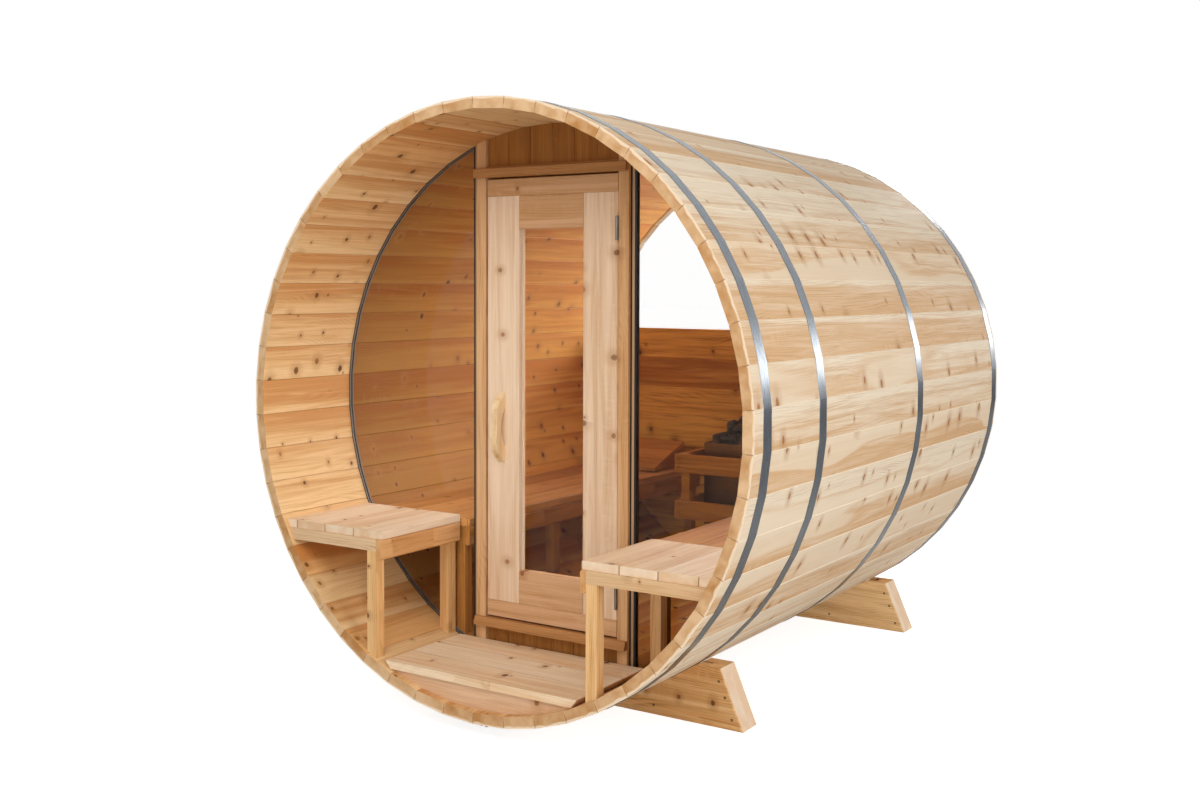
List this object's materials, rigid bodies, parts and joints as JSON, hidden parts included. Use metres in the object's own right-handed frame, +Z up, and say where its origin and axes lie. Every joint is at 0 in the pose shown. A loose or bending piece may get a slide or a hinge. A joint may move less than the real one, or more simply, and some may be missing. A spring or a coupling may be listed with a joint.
{
  "type": "barrel sauna",
  "caption": "Barrel sauna of round-set cedar staves on two cradles, with an open porch, a glazed front wall with a hinged door, benches, heater and half-moon rear window.",
  "frame": {"origin": "on the ground under the middle of the barrel", "axes": "+Y from the porch to the back, +X to the right seen from the door, +Z up"},
  "size_m": [1.9042, 2.134, 1.954],
  "materials": {
    "staves": "planed untreated cedar",
    "cradle_wood": "planed untreated cedar",
    "wall_boards": "planed untreated cedar",
    "frame_wood": "planed untreated cedar",
    "door_wood": "planed untreated cedar",
    "branch_wood": "hand-smoothed branch wood",
    "bench_wood": "planed untreated cedar",
    "deck_wood": "planed untreated cedar",
    "guard_wood": "planed untreated cedar",
    "band_steel": "brushed stainless strip",
    "hinge_steel": "satin steel",
    "heater_steel": "satin sheet steel",
    "stones": "rough heater stones",
    "bronze_glass": "bronze-tinted toughened glass",
    "seal_rubber": "black rubber seal",
    "channel_aluminium": "dark anodised channel"
  },
  "bodies": {
    "shell": {"staves_top_right": "staves", "staves_upper_right": "staves", "staves_right": "staves", "staves_lower_right": "staves", "staves_bottom_right": "staves", "staves_bottom_left": "staves", "staves_lower_left": "staves", "staves_left": "staves", "staves_upper_left": "staves", "staves_top_left": "staves", "cradle_front": "cradle_wood", "cradle_back": "cradle_wood", "back_wall_boards": "wall_boards", "transom_boards": "wall_boards", "kick_boards": "wall_boards", "door_posts": "frame_wood", "door_header": "frame_wood", "door_sill": "frame_wood", "door_stops": "frame_wood", "window_packing": "frame_wood", "porch_bench_boards": "bench_wood", "porch_bench_aprons": "bench_wood", "porch_bench_crosspieces": "bench_wood", "porch_bench_legs": "bench_wood", "cabin_bench_boards": "bench_wood", "cabin_bench_aprons": "bench_wood", "cabin_bench_crosspieces": "bench_wood", "cabin_bench_legs": "bench_wood", "headrest": "bench_wood", "porch_deck_boards": "deck_wood", "porch_deck_joists": "deck_wood", "heater_guard": "guard_wood", "bands": "band_steel", "hinge_leaves_post": "hinge_steel", "heater_case": "heater_steel", "heater_stones": "stones", "front_glass": "bronze_glass", "back_window_glass": "bronze_glass", "glass_seals": "seal_rubber", "glass_channels": "channel_aluminium"},
    "door": {"door_stiles": "door_wood", "door_rails": "door_wood", "door_glass": "bronze_glass", "door_pull": "branch_wood", "hinge_leaves_door": "hinge_steel"}
  },
  "joints": [
    {"name": "door_swing", "type": "hinge", "parent": "shell", "child": "door", "pos_m": [0.2645, -0.6765, 1], "axis": [0, 0, 1], "range_deg": [0, 100]}
  ]
}
